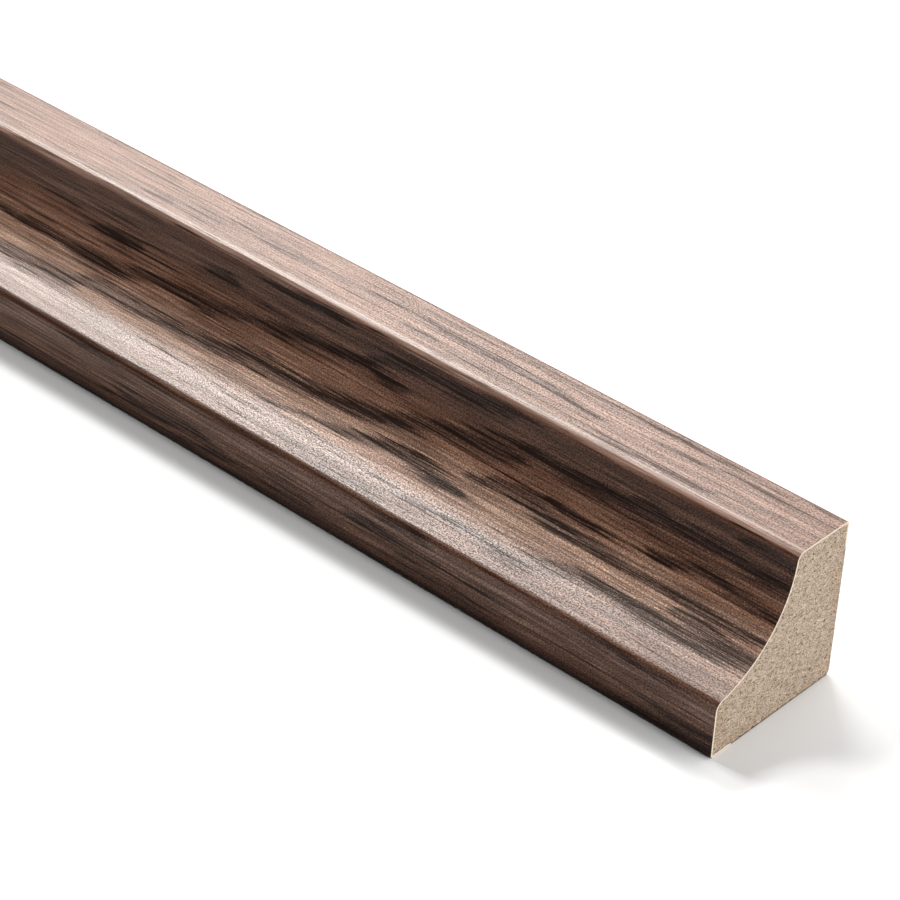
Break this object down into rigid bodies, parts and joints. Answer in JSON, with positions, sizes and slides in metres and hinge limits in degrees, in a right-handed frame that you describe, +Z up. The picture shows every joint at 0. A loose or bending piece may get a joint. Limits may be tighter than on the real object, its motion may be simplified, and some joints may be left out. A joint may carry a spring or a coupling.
{
  "type": "scotia moulding",
  "caption": "Straight foil-wrapped scotia trim, square at the back and underside, with a hollow quarter-round face between narrow flat lands, for covering a floor-to-wall joint.",
  "frame": {"origin": "middle of the underside, where the stick rests on the floor", "axes": "+X along the stick, +Y from the hollow front to the flat back, +Z up"},
  "size_m": [2.4, 0.018, 0.018],
  "materials": {
    "decor_foil": "printed dark walnut grain, satin",
    "fibreboard": "raw medium-density fibreboard, saw cut at the ends"
  },
  "bodies": {
    "root": {"decor_foil": "decor_foil", "fibreboard_core": "fibreboard"}
  },
  "joints": []
}
